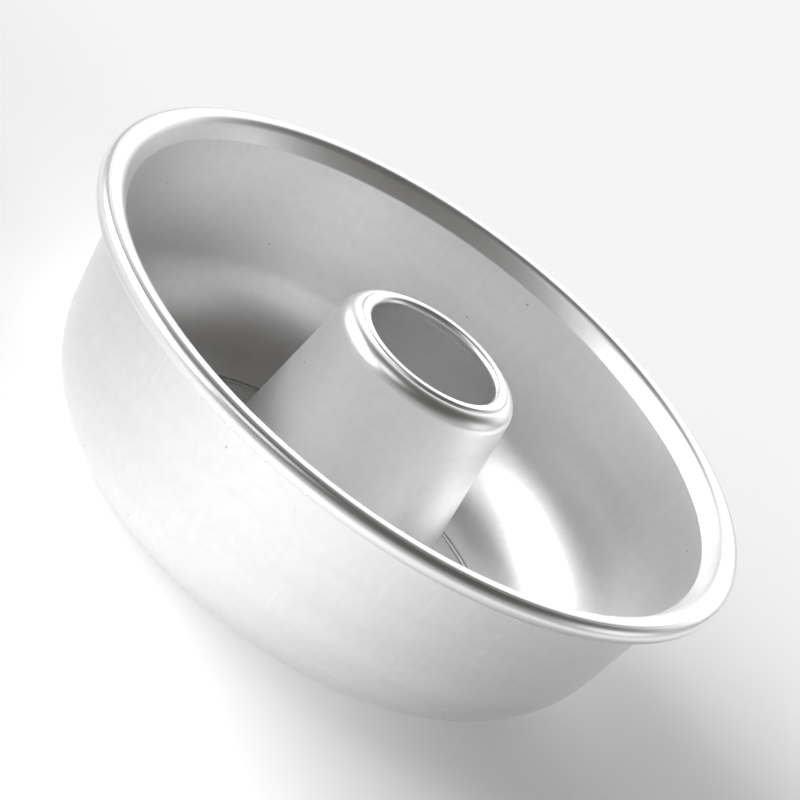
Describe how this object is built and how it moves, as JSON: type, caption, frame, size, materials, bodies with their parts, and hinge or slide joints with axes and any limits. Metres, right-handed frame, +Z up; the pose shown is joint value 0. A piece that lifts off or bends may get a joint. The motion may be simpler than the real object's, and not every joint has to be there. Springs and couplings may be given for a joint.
{
  "type": "angel food cake pan",
  "caption": "Round-cornered ring cake pan with a rolled rim and a lift-out base plate that carries a conical centre tube.",
  "frame": {"origin": "middle of the plane that the pan stands on, under the tube's axis", "axes": "+Z up along the tube's axis, +X and +Y level; the pan is round, so they point nowhere in particular"},
  "size_m": [0.21, 0.21, 0.0712],
  "materials": {
    "satin_aluminium_body": "satin anodised, with a polished rim",
    "satin_aluminium_plate": "satin anodised",
    "satin_aluminium_tube": "satin anodised, with a polished lip"
  },
  "bodies": {
    "pan": {"pan_body": "satin_aluminium_body"},
    "insert": {"base_plate": "satin_aluminium_plate", "centre_tube": "satin_aluminium_tube"}
  },
  "joints": [
    {"name": "insert_lift", "type": "slide", "parent": "pan", "child": "insert", "axis": [0, 0, 1], "range_m": [0, 0.0745]}
  ]
}
